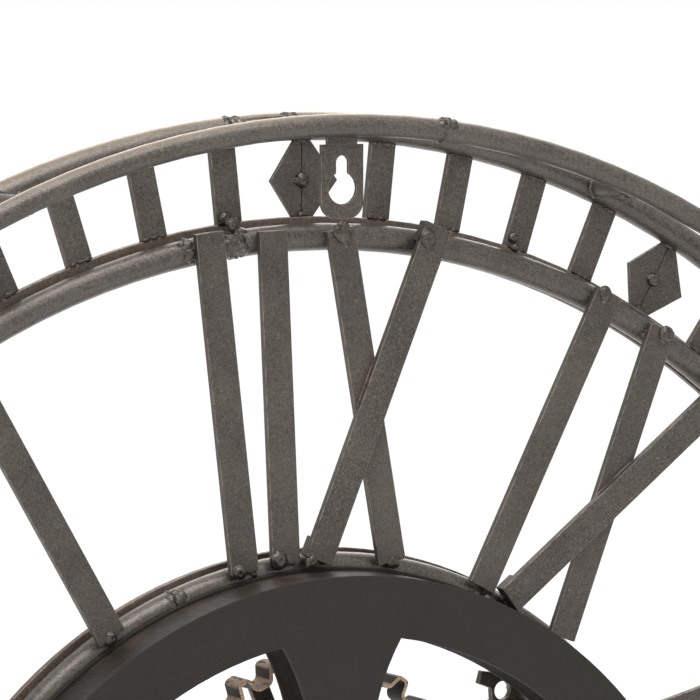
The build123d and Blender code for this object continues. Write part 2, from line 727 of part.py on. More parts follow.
KNOB_BACK = CASE_BACK + 3.6
KNOB_FLUTES = 16
KNOB_FLUTE_RADIUS = 0.5
KNOB_FLUTE_CIRCLE = KNOB_RADIUS + 0.1

cannon_phase = mesh_phase(MOTION_DIRECTION + 180, MOTION_TEETH, 0.0, PINION_TEETH)
setting_phase = mesh_phase(SETTING_DIRECTION, MOTION_TEETH, 0.0, SETTING_TEETH)
hour_phase = mesh_phase(MOTION_DIRECTION + 180, PINION_TEETH, 0.0, HOUR_TEETH)

# ---------------------------------------------------------------- movement: wheels
with BuildPart() as minute_arbor:
    add_round(CENTRE_AXIS, MINUTE_ARBOR_RADIUS, MINUTE_ARBOR_FRONT, CENTRE_WHEEL[1])
    add_gear(CENTRE_AXIS, PINION_TEETH, motion_module, cannon_phase, *CANNON_PINION)
    add_gear(CENTRE_AXIS, CENTRE_TEETH, third_module, 0.0, *CENTRE_WHEEL)
    add_round(CENTRE_AXIS, ARBOR_RADIUS, CENTRE_WHEEL[1], BACK_INSIDE - END_SHAKE)
    add_round(CENTRE_AXIS, PIVOT_RADIUS, BACK_INSIDE - END_SHAKE, BACK_INSIDE + PIVOT_DEPTH)
write_step(minute_arbor, "minute_arbor")

with BuildPart() as hour_wheel:
    add_gear(CENTRE_AXIS, HOUR_TEETH, hour_module, hour_phase, *HOUR_WHEEL)
    add_round(CENTRE_AXIS, HOUR_PIPE_RADIUS, HOUR_PIPE_FRONT, HOUR_PIPE_BACK)
    pipe_bore = MINUTE_ARBOR_RADIUS + RUNNING_CLEARANCE
    add_round(CENTRE_AXIS, pipe_bore, HOUR_PIPE_FRONT, HOUR_PIPE_BACK, mode=Mode.SUBTRACT)
write_step(hour_wheel, "hour_wheel")

with BuildPart() as motion_wheel:
    add_gear(motion_axis, MOTION_TEETH, motion_module, 0.0, *MOTION_WHEEL)
    add_gear(motion_axis, PINION_TEETH, hour_module, 0.0, *HOUR_PINION)
    add_round(motion_axis, PIVOT_RADIUS, FRONT_INSIDE - PIVOT_DEPTH, MIDDLE_PLATE[0] + PIVOT_DEPTH)
write_step(motion_wheel, "motion_wheel")

with BuildPart() as setting_knob:
    add_gear(setting_axis, SETTING_TEETH, motion_module, setting_phase, *MOTION_WHEEL)
    add_round(setting_axis, PIVOT_RADIUS, FRONT_INSIDE - PIVOT_DEPTH, MOTION_WHEEL[0])
    add_round(setting_axis, SETTING_STEM_RADIUS, MOTION_WHEEL[1], KNOB_FRONT)
    add_round(setting_axis, KNOB_RADIUS, KNOB_FRONT, KNOB_BACK)
    with BuildSketch(depth_plane(KNOB_BACK)):
        with Locations(setting_axis):
            with PolarLocations(KNOB_FLUTE_CIRCLE, KNOB_FLUTES):
                Circle(KNOB_FLUTE_RADIUS)
    extrude(amount=KNOB_BACK - KNOB_FRONT, mode=Mode.SUBTRACT)
write_step(setting_knob, "setting_knob")


def add_arbor(axis):
    """An arbor between the middle plate and the back case, with a pivot at each end."""
    add_round(axis, ARBOR_RADIUS, MIDDLE_PLATE[1] + END_SHAKE, BACK_INSIDE - END_SHAKE)
    add_round(axis, PIVOT_RADIUS, MIDDLE_PLATE[1] - PIVOT_DEPTH, BACK_INSIDE + PIVOT_DEPTH)


third_pinion_phase = mesh_phase(THIRD_DIRECTION, CENTRE_TEETH, 0.0, PINION_TEETH)
second_pinion_phase = mesh_phase(SECOND_DIRECTION, THIRD_TEETH, 0.0, PINION_TEETH)
step_pinion_phase = mesh_phase(STEP_DIRECTION, SECOND_TEETH, 0.0, PINION_TEETH)
rotor_pinion_phase = mesh_phase(ROTOR_DIRECTION, STEP_TEETH, 0.0, PINION_TEETH)

with BuildPart() as third_wheel:
    add_arbor(third_axis)
    add_gear(third_axis, THIRD_TEETH, second_module, 0.0, *THIRD_WHEEL)
    add_gear(third_axis, PINION_TEETH, third_module, third_pinion_phase, *THIRD_PINION)
write_step(third_wheel, "third_wheel")

with BuildPart() as second_wheel:
    add_arbor(second_axis)
    add_gear(second_axis, SECOND_TEETH, step_module, 0.0, *SECOND_WHEEL)
    add_gear(second_axis, PINION_TEETH, second_module, second_pinion_phase, *SECOND_PINION)
write_step(second_wheel, "second_wheel")

with BuildPart() as step_wheel:
    add_arbor(step_axis)
    add_gear(step_axis, STEP_TEETH, rotor_module, 0.0, *STEP_WHEEL)
    add_gear(step_axis, PINION_TEETH, step_module, step_pinion_phase, *STEP_PINION)
write_step(step_wheel, "step_wheel")

with BuildPart() as rotor:
    add_arbor(rotor_axis)
    add_gear(rotor_axis, PINION_TEETH, rotor_module, rotor_pinion_phase, *ROTOR_PINION)
    add_round(rotor_axis, ROTOR_MAGNET_RADIUS, *ROTOR_MAGNET)
write_step(rotor, "rotor")

# ---------------------------------------------------------------- movement: case and plate
FLOOR_LEFT = 0.3
pivot_hole = PIVOT_RADIUS + RUNNING_CLEARANCE
stem_hole = SETTING_STEM_RADIUS + RUNNING_CLEARANCE
train_axes = [third_axis, second_axis, step_axis, rotor_axis]
case_half = CASE_SIZE / 2
case_inside = case_half - CASE_WALL
train_space = ((-case_inside, case_inside), (BAY_TOP + BAY_WALL, case_inside))
battery_bay = ((-BAY_HALF_LENGTH, BAY_HALF_LENGTH), (BAY_WALL - case_half, BAY_TOP))


def add_case_block(front, back):
    """A length of the case, square with rounded corners."""
    with BuildSketch(depth_plane(back)) as case_face:
        RectangleRounded(CASE_SIZE, CASE_SIZE, CASE_CORNER)
    extrude(case_face.sketch, amount=back - front)


with BuildPart() as movement_front_case:
    add_case_block(CASE_FRONT, CASE_SPLIT)
    add_block(*train_space, FRONT_INSIDE, CASE_SPLIT, mode=Mode.SUBTRACT)
    add_block(*battery_bay, FRONT_INSIDE, CASE_SPLIT, mode=Mode.SUBTRACT)
    add_round(CENTRE_AXIS, BUSH_RADIUS, CASE_FRONT, FRONT_INSIDE, mode=Mode.SUBTRACT)
    for axis in (motion_axis, setting_axis):
        add_round(axis, pivot_hole, CASE_FRONT + FLOOR_LEFT, FRONT_INSIDE, mode=Mode.SUBTRACT)
write_step(movement_front_case, "movement_front_case")

with BuildPart() as movement_back_case:
    add_case_block(CASE_SPLIT, CASE_BACK)
    add_block(*train_space, CASE_SPLIT, BACK_INSIDE, mode=Mode.SUBTRACT)
    add_block(*battery_bay, CASE_SPLIT, CASE_BACK, mode=Mode.SUBTRACT)
    for axis in train_axes + [CENTRE_AXIS]:
        add_round(axis, pivot_hole, BACK_INSIDE, CASE_BACK - FLOOR_LEFT, mode=Mode.SUBTRACT)
    add_round(setting_axis, stem_hole, BACK_INSIDE, CASE_BACK, mode=Mode.SUBTRACT)
write_step(movement_back_case, "movement_back_case")

with BuildPart() as movement_middle_plate:
    add_block(*train_space, *MIDDLE_PLATE)
    add_round(CENTRE_AXIS, MINUTE_ARBOR_RADIUS + RUNNING_CLEARANCE, *MIDDLE_PLATE, mode=Mode.SUBTRACT)
    for axis in train_axes + [motion_axis]:
        add_round(axis, pivot_hole, *MIDDLE_PLATE, mode=Mode.SUBTRACT)
    add_round(setting_axis, stem_hole, *MIDDLE_PLATE, mode=Mode.SUBTRACT)
write_step(movement_middle_plate, "movement_middle_plate")

# ---------------------------------------------------------------- movement: motor, board, battery
STATOR = (14.6, 15.2)
STATOR_BOTTOM = 16.2
STATOR_HALF_HEIGHT = 5.0
STATOR_END = 25.6
STATOR_HOLE = ROTOR_MAGNET_RADIUS + 0.4
STATOR_TOP = 23.9
STEP_ARBOR_CLEARANCE = 0.5
COIL_HEIGHT = 23.0
COIL_DEPTH = 17.4
COIL_RADIUS = 2.2
COIL_SPAN = (10.0, 24.0)
BOARD_SPAN = (8.0, 25.5)
BOARD_HEIGHT_SPAN = (-10.6, -1.0)
BOARD_DEPTHS = (18.8, BACK_INSIDE)
CONTACT_THICKNESS = 0.4
CONTACT_HEIGHT = 9.0
CONTACT_DEPTHS = (6.0, 19.6)

with BuildPart() as stator:
    with BuildSketch(depth_plane(STATOR[1])):
        stator_left = rotor_axis[0] - STATOR_HALF_HEIGHT
        with Locations((stator_left, STATOR_BOTTOM)):
            stator_height = STATOR_TOP - STATOR_BOTTOM
            Rectangle(STATOR_END - stator_left, stator_height, align=(Align.MIN, Align.MIN))
        with Locations(rotor_axis):
            Circle(STATOR_HOLE, mode=Mode.SUBTRACT)
        with Locations(step_axis):
            Circle(ARBOR_RADIUS + STEP_ARBOR_CLEARANCE, mode=Mode.SUBTRACT)
    extrude(amount=STATOR[1] - STATOR[0])
write_step(stator, "stator")

# the winding lies on the back of the stator
with BuildPart() as coil:
    with BuildSketch(Plane.YZ.offset(COIL_SPAN[0])):
        with Locations((COIL_DEPTH, COIL_HEIGHT)):
            Circle(COIL_RADIUS)
    extrude(amount=COIL_SPAN[1] - COIL_SPAN[0])
write_step(coil, "coil")

with BuildPart() as circuit_board:
    with BuildSketch(depth_plane(BOARD_DEPTHS[1])):
        with Locations((sum(BOARD_SPAN) / 2, sum(BOARD_HEIGHT_SPAN) / 2)):
            Rectangle(BOARD_SPAN[1] - BOARD_SPAN[0], BOARD_HEIGHT_SPAN[1] - BOARD_HEIGHT_SPAN[0])
    extrude(amount=BOARD_DEPTHS[1] - BOARD_DEPTHS[0])
write_step(circuit_board, "circuit_board")

BATTERY_DEPTH = FRONT_INSIDE + BATTERY_RADIUS
TERMINAL_RADIUS = 2.6
TERMINAL_LENGTH = 1.2
CELL_START = -25.4
with BuildPart() as battery:
    with BuildSketch(Plane.YZ.offset(CELL_START)):
        with Locations((BATTERY_DEPTH, BATTERY_HEIGHT)):
            Circle(BATTERY_RADIUS)
    extrude(amount=BATTERY_LENGTH)
    with BuildSketch(Plane.YZ.offset(CELL_START + BATTERY_LENGTH)):
        with Locations((BATTERY_DEPTH, BATTERY_HEIGHT)):
            Circle(TERMINAL_RADIUS)
    extrude(amount=TERMINAL_LENGTH)
write_step(battery, "battery")

with BuildPart() as battery_contacts:
    left_contact = (-BAY_HALF_LENGTH, CELL_START)
    right_contact = (CELL_START + BATTERY_LENGTH + TERMINAL_LENGTH, BAY_HALF_LENGTH)
    with BuildSketch(depth_plane(CONTACT_DEPTHS[1])):
        for start, end in (left_contact, right_contact):
            with Locations(((start + end) / 2, BATTERY_HEIGHT)):
                Rectangle(end - start, CONTACT_HEIGHT)
                Rectangle(end - start - 2 * CONTACT_THICKNESS, CONTACT_HEIGHT, mode=Mode.SUBTRACT)
    extrude(amount=CONTACT_DEPTHS[1] - CONTACT_DEPTHS[0])
write_step(battery_contacts, "battery_contacts")

# ---------------------------------------------------------------- movement: fixing
with BuildPart() as threaded_bush:
    add_round(CENTRE_AXIS, BUSH_RADIUS, BUSH_FRONT, FRONT_INSIDE)
    add_round(
        CENTRE_AXIS, HOUR_PIPE_RADIUS + RUNNING_CLEARANCE, BUSH_FRONT, FRONT_INSIDE, mode=Mode.SUBTRACT
    )
write_step(threaded_bush, "threaded_bush")

washer_front = DISC_FRONT - BUSH_WASHER[1]
bush_washer = flat_ring(BUSH_WASHER[0], BUSH_RADIUS, DISC_FRONT, BUSH_WASHER[1])
write_step(bush_washer, "bush_washer")

with BuildPart() as bush_nut:
    with BuildSketch(depth_plane(washer_front)):
        RegularPolygon(BUSH_NUT_RADIUS, 6)
        Circle(BUSH_RADIUS, mode=Mode.SUBTRACT)
    extrude(amount=BUSH_NUT_THICKNESS)
write_step(bush_nut, "bush_nut")

# ---------------------------------------------------------------- hands
HOUR_HAND = {"length": 172.0, "tail": 34.0, "root": 5.0, "waist": 9.0, "head": 15.0, "eye": 10.0}
MINUTE_HAND = {"length": 255.0, "tail": 52.0, "root": 4.5, "waist": 7.5, "head": 12.0, "eye": 8.5}
HEAD_START = 0.60
HEAD_WIDEST = 0.78
TAIL_DISC = 9.0


def make_hand(shape, hand_angle, back, bore_radius):
    """A flat pointer with a lance head, an open eye and a round counterweight."""
    with BuildPart() as upright:
        with BuildSketch(depth_plane(back)):
            with BuildLine():
                Polyline(
                    (-shape["root"], 0),
                    (-shape["root"] / 2, shape["length"] * HEAD_START),
                    (-shape["head"], shape["length"] * HEAD_WIDEST),
                    (0, shape["length"]),
                    (shape["head"], shape["length"] * HEAD_WIDEST),
                    (shape["root"] / 2, shape["length"] * HEAD_START),
                    (shape["root"], 0),
                    (shape["root"] / 2, -shape["tail"]),
                    (-shape["root"] / 2, -shape["tail"]),
                    close=True,
                )
            make_face()
            Circle(shape["waist"])
            with Locations((0, -shape["tail"])):
                Circle(TAIL_DISC)
            with Locations((0, shape["length"] * HEAD_WIDEST)):
                Circle(shape["eye"] / 2, mode=Mode.SUBTRACT)
            Circle(bore_radius, mode=Mode.SUBTRACT)
        extrude(amount=HAND_THICKNESS)
    with BuildPart() as turned:
        add(upright.part.rotate(Axis.Y, hand_angle))
    return turned


hour_hand = make_hand(HOUR_HAND, HOUR_HAND_ANGLE, HOUR_HAND_BACK, HOUR_PIPE_RADIUS)
write_step(hour_hand, "hour_hand")
minute_hand = make_hand(MINUTE_HAND, MINUTE_HAND_ANGLE, MINUTE_HAND_BACK, MINUTE_ARBOR_RADIUS)
write_step(minute_hand, "minute_hand")

with BuildPart() as hand_nut:
    with BuildSketch(depth_plane(MINUTE_HAND_BACK - HAND_THICKNESS)):
        RegularPolygon(HAND_NUT_RADIUS, 6)
    extrude(amount=MINUTE_HAND_BACK - HAND_THICKNESS - HAND_NUT_FRONT)
    add_round(
        CENTRE_AXIS,
        MINUTE_ARBOR_RADIUS,
        MINUTE_ARBOR_FRONT,
        MINUTE_HAND_BACK - HAND_THICKNESS,
        mode=Mode.SUBTRACT,
    )
write_step(hand_nut, "hand_nut")
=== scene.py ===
import json
import math
import random

import bmesh
import bpy
from mathutils import Matrix, Vector, noise


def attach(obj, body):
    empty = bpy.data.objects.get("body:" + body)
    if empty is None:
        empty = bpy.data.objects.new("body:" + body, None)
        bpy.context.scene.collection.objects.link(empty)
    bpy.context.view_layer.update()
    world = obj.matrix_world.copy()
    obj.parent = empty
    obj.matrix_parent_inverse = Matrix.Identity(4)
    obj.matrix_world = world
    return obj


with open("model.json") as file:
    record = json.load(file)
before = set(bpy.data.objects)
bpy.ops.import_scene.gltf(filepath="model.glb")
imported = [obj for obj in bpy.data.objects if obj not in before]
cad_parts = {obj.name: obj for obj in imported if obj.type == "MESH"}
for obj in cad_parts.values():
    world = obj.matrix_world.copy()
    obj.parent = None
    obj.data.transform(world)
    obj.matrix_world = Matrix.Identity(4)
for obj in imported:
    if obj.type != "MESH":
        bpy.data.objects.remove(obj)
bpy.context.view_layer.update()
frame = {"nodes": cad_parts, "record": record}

MM = 0.001
HOURS = 12
HOUR_STEP = 30
MINUTES = 60
MINUTE_STEP = 6
RING_LENGTHS = 8
LENGTH_STEP = 45
scene = bpy.context.scene


# ---------------------------------------------------------------- materials
# noise scales, in features per metre: paint speckle, brush marks, rubbed places and clouds
SPECKLE, SPECKS, MOTTLE, RUBBED, CLOUD = 1900.0, 1300.0, 620.0, 150.0, 38.0


class Graph:
    """Short names for building one material's nodes."""

    def __init__(self, name):
        self.material = bpy.data.materials.new(name)
        self.material.use_nodes = True
        self.tree = self.material.node_tree
        self.tree.nodes.clear()
        self.output = self.tree.nodes.new("ShaderNodeOutputMaterial")
        self.shader = self.tree.nodes.new("ShaderNodeBsdfPrincipled")
        self.tree.links.new(self.shader.outputs["BSDF"], self.output.inputs["Surface"])
        self.coords = self.tree.nodes.new("ShaderNodeTexCoord")

    def link(self, source, target):
        self.tree.links.new(source, target)

    def put(self, socket, value):
        if hasattr(value, "is_output"):
            self.link(value, socket)
        else:
            socket.default_value = value

    def noise(self, scale, detail=3.0, rough=0.55, offset=(0, 0, 0), stretch=(1, 1, 1)):
        place = self.tree.nodes.new("ShaderNodeMapping")
        self.link(self.coords.outputs["Object"], place.inputs["Vector"])
        place.inputs["Location"].default_value = offset
        place.inputs["Scale"].default_value = stretch
        node = self.tree.nodes.new("ShaderNodeTexNoise")
        self.link(place.outputs["Vector"], node.inputs["Vector"])
        node.inputs["Scale"].default_value = scale
        node.inputs["Detail"].default_value = detail
        node.inputs["Roughness"].default_value = rough
        return node.outputs["Fac"]

    def ramp(self, value, low, high, start=0.0, end=1.0):
        node = self.tree.nodes.new("ShaderNodeMapRange")
        node.interpolation_type = "SMOOTHSTEP"
        self.link(value, node.inputs["Value"])
        node.inputs["From Min"].default_value = low
        node.inputs["From Max"].default_value = high
        node.inputs["To Min"].default_value = start
        node.inputs["To Max"].default_value = end
        return node.outputs["Result"]

    def math(self, operation, first, second=0.0):
        node = self.tree.nodes.new("ShaderNodeMath")
        node.operation = operation
        self.put(node.inputs[0], first)
        self.put(node.inputs[1], second)
        return node.outputs["Value"]

    def mix(self, factor, first, second):
        node = self.tree.nodes.new("ShaderNodeMix")
        node.data_type = "RGBA"
        self.put(node.inputs["Factor"], factor)
        for socket, value in ((node.inputs["A"], first), (node.inputs["B"], second)):
            self.put(socket, value if hasattr(value, "is_output") else (*value, 1.0))
        return node.outputs["Result"]

    def vector(self, operation, first, second=(0, 0, 0), result="Vector"):
        node = self.tree.nodes.new("ShaderNodeVectorMath")
        node.operation = operation
        self.put(node.inputs[0], first)
        self.put(node.inputs[1], second)
        return node.outputs[result]

    def part_of(self, coordinate, axis):
        """One axis of the Object or the Normal coordinate."""
        node = self.tree.nodes.new("ShaderNodeSeparateXYZ")
        self.link(self.coords.outputs[coordinate], node.inputs["Vector"])
        return node.outputs[axis]

    def edges(self, radius):
        """1 along the edges of a solid, 0 on its faces, with the rounded normal itself."""
        bevel = self.tree.nodes.new("ShaderNodeBevel")
        bevel.samples = 4
        bevel.inputs["Radius"].default_value = radius
        geometry = self.tree.nodes.new("ShaderNodeNewGeometry")
        rounded = bevel.outputs["Normal"]
        flatness = self.vector("DOT_PRODUCT", rounded, geometry.outputs["Normal"], "Value")
        return self.math("SUBTRACT", 1.0, flatness), rounded

    def bump(self, height, strength, distance, normal=None):
        node = self.tree.nodes.new("ShaderNodeBump")
        node.inputs["Strength"].default_value = strength
        node.inputs["Distance"].default_value = distance
        self.link(height, node.inputs["Height"])
        if normal is not None:
            self.link(normal, node.inputs["Normal"])
        return node.outputs["Normal"]

    def finish(self, colour, roughness, normal, metallic=0.0):
        self.put(self.shader.inputs["Base Color"], colour)
        self.put(self.shader.inputs["Roughness"], roughness)
        self.put(self.shader.inputs["Metallic"], metallic)
        if normal is not None:
            self.link(normal, self.shader.inputs["Normal"])
        return self.material


def antique_metal(
    name,
    dark,
    light,
    worn,
    patch=None,
    patch_share=0.0,
    wear=0.6,
    grain=0.5,
    rough=(0.44, 0.62),
    metallic=0.35,
    seed=0.0,
    streak=(1, 1, 1),
    specular=0.5,
    painted_light_and_shade=0.0,
):
    """Lacquered, dry-brushed steel: fine speckle, faint clouds, brown stains and rubbed edges, and
    if asked a painted highlight on faces turned up and painted shade on faces turned down.
    """
    g = Graph(name)
    shift = (seed, seed * 1.7, -seed)
    speckle = g.noise(SPECKLE, 2.0, 0.7, shift, streak)
    mottle = g.noise(MOTTLE, 3.0, 0.6, shift, streak)
    cloud = g.noise(CLOUD, 4.0, 0.6, shift)
    tone = g.math("ADD", g.math("MULTIPLY", speckle, 0.7), g.math("MULTIPLY", mottle, 0.3))
    tone = g.math("ADD", tone, g.math("MULTIPLY", g.math("SUBTRACT", cloud, 0.5), 0.22))
    colour = g.mix(g.ramp(tone, 0.34, 0.68), dark, light)
    if patch is not None:
        patches = g.ramp(cloud, 0.70 - 0.25 * patch_share, 0.84 - 0.2 * patch_share, 0.0, 0.55)
        colour = g.mix(patches, colour, patch)
    if painted_light_and_shade:
        # painted light and shade: what faces up is painted lighter and warmer as a highlight, and
        # what faces down darker as shade
        up = g.part_of("Normal", "Z")
        colour = g.mix(g.ramp(up, -0.5, 0.5, 0.35, 0.0), colour, dark)
        colour = g.mix(g.ramp(up, 0.62, 1.0, 0.0, painted_light_and_shade), colour, worn)
    # sparse pale specks where the lacquer is rubbed to bare metal
    specks = g.ramp(g.noise(SPECKS, 1.0, 0.5, (3 + seed, 1, 7)), 0.70, 0.78, 0.0, 0.5 * wear)
    colour = g.mix(specks, colour, worn)
    edge, rounded = g.edges(0.0009)
    strokes_bare = g.ramp(g.noise(RUBBED, 4.0, 0.7, shift), 0.34, 0.62)
    rubbed = g.math("MULTIPLY", g.ramp(edge, 0.03, 0.22), strokes_bare)
    colour = g.mix(g.math("MULTIPLY", rubbed, wear), colour, worn)
    height = g.math("ADD", g.math("MULTIPLY", speckle, 0.7), g.math("MULTIPLY", mottle, 0.5))
    normal = g.bump(height, grain, 0.00028, rounded)
    roughness = g.ramp(mottle, 0.32, 0.70, rough[0], rough[1])
    g.shader.inputs["Specular IOR Level"].default_value = specular
    return g.finish(colour, roughness, normal, metallic)


def gear_strip(name, centre, seed):
    """Black strip folded into teeth: beige dry-brushed outer faces and pale copper edges."""
    g = Graph(name)
    shift = (seed, seed * 1.7, -seed)
    centre_point = (centre[0] * MM, 0.0, centre[1] * MM)
    from_centre = g.vector("SUBTRACT", g.coords.outputs["Object"], centre_point)
    outward = g.vector("NORMALIZE", g.vector("MULTIPLY", from_centre, (1.0, 0.0, 1.0)))
    facing_out = g.vector("DOT_PRODUCT", outward, g.coords.outputs["Normal"], "Value")
    facing_along = g.math("ABSOLUTE", g.part_of("Normal", "Y"))
    speckle = g.noise(1700.0, 2.0, 0.7, shift)
    strokes_across = g.noise(420.0, 4.0, 0.65, shift, (1.0, 0.25, 1.0))
    colour = g.mix(g.ramp(speckle, 0.35, 0.70), (0.008, 0.006, 0.005), (0.035, 0.027, 0.021))
    brushed = g.math("MULTIPLY", g.ramp(facing_out, 0.25, 0.75), g.ramp(strokes_across, 0.36, 0.56))
    colour = g.mix(g.math("MULTIPLY", brushed, 0.85), colour, (0.40, 0.29, 0.20))
    copper = g.mix(g.ramp(speckle, 0.40, 0.66), (0.34, 0.20, 0.12), (0.80, 0.62, 0.46))
    rim = g.math("MULTIPLY", g.ramp(facing_along, 0.5, 0.8), g.ramp(strokes_across, 0.30, 0.46))
    colour = g.mix(rim, colour, copper)
    edge, rounded = g.edges(0.0007)
    strokes_bare = g.ramp(g.noise(RUBBED, 4.0, 0.7, shift), 0.34, 0.6)
    rubbed = g.math("MULTIPLY", g.ramp(edge, 0.03, 0.2), strokes_bare)
    colour = g.mix(rubbed, colour, (0.72, 0.55, 0.40))
    normal = g.bump(g.math("ADD", speckle, strokes_across), 0.5, 0.0003, rounded)
    g.shader.inputs["Specular IOR Level"].default_value = 0.15
    return g.finish(colour, g.ramp(speckle, 0.3, 0.7, 0.50, 0.70), normal, 0.1)


def moulded_plastic(name, colour, rough, grain=0.25):
    """Spark-eroded plastic with faint tone changes."""
    g = Graph(name)
    fine = g.noise(2600.0, 2.0, 0.5)
    broad = g.noise(60.0, 3.0, 0.6)
    lighter = tuple(min(1.0, channel * 1.35 + 0.004) for channel in colour)
    edge_tone = tuple(min(1.0, channel * 2.2 + 0.01) for channel in colour)
    tone = g.mix(g.ramp(broad, 0.35, 0.68), colour, lighter)
    edge, rounded = g.edges(0.0004)
    tone = g.mix(g.ramp(edge, 0.03, 0.3, 0.0, 0.35), tone, edge_tone)
    roughness = g.ramp(fine, 0.3, 0.7, rough - 0.06, rough + 0.08)
    return g.finish(tone, roughness, g.bump(fine, grain, 0.00006, rounded))


def plain_metal(name, dark, light, rough, brushed):
    """Machined or drawn metal with fine brush lines, tarnish and bright edges."""
    g = Graph(name)
    lines = g.noise(1800.0, 3.0, 0.6, (1, 2, 3), brushed)
    tarnish = g.noise(190.0, 4.0, 0.65, (5, 1, 2))
    tone = g.mix(g.ramp(tarnish, 0.35, 0.66), light, dark)
    edge, rounded = g.edges(0.0004)
    tone = g.mix(g.ramp(edge, 0.03, 0.25, 0.0, 0.7), tone, light)
    roughness = g.ramp(lines, 0.3, 0.7, rough - 0.08, rough + 0.12)
    return g.finish(tone, roughness, g.bump(lines, 0.18, 0.00008, rounded), 1.0)


def wound_wire(name):
    """Enamelled copper wire, wound across X."""
    g = Graph(name)
    wave = g.tree.nodes.new("ShaderNodeTexWave")
    wave.bands_direction = "X"
    wave.inputs["Scale"].default_value = 900.0
    wave.inputs["Distortion"].default_value = 0.6
    g.link(g.coords.outputs["Object"], wave.inputs["Vector"])
    tone = g.mix(wave.outputs["Fac"], (0.16, 0.05, 0.02), (0.62, 0.24, 0.08))
    return g.finish(tone, 0.34, g.bump(wave.outputs["Fac"], 0.6, 0.0001), 0.9)


def printed_board(name):
    """Green lacquer over copper tracks."""
    g = Graph(name)
    brick = g.tree.nodes.new("ShaderNodeTexBrick")
    brick.inputs["Scale"].default_value = 260.0
    brick.inputs["Mortar Size"].default_value = 0.06
    g.link(g.coords.outputs["Object"], brick.inputs["Vector"])
    tone = g.mix(brick.outputs["Fac"], (0.012, 0.085, 0.035), (0.05, 0.19, 0.07))
    tone = g.mix(g.ramp(g.noise(700.0), 0.62, 0.66, 0.0, 0.6), tone, (0.55, 0.50, 0.42))
    return g.finish(tone, 0.32, g.bump(brick.outputs["Fac"], 0.4, 0.00005))


def battery_skin(name):
    """A dry cell's printed jacket with a bare positive end, changing along X."""
    g = Graph(name)
    along = g.part_of("Object", "X")
    band = g.ramp(along, 0.0098, 0.0102)
    bare = g.ramp(along, 0.0232, 0.0234)
    tone = g.mix(band, (0.012, 0.014, 0.02), (0.50, 0.30, 0.10))
    tone = g.mix(bare, tone, (0.55, 0.55, 0.55))
    tone = g.mix(g.ramp(g.noise(240.0, 4.0), 0.55, 0.75, 0.0, 0.25), tone, (0.2, 0.2, 0.2))
    fine = g.noise(1200.0)
    return g.finish(tone, g.ramp(fine, 0.3, 0.7, 0.22, 0.38), g.bump(fine, 0.1, 0.00004), 0.6)


TAUPE_DARK = (0.024, 0.019, 0.015)
TAUPE = (0.102, 0.087, 0.073)
BROWN = (0.060, 0.036, 0.022)
BEIGE = (0.46, 0.35, 0.25)
ALONG_DEPTH = (1, 0.2, 1)


def taupe_metal(name, patch_share, wear, seed):
    """The grey-brown lacquer of the flat bars and small parts."""
    return antique_metal(
        name, TAUPE_DARK, TAUPE, BEIGE, BROWN, patch_share=patch_share, wear=wear, seed=seed
    )


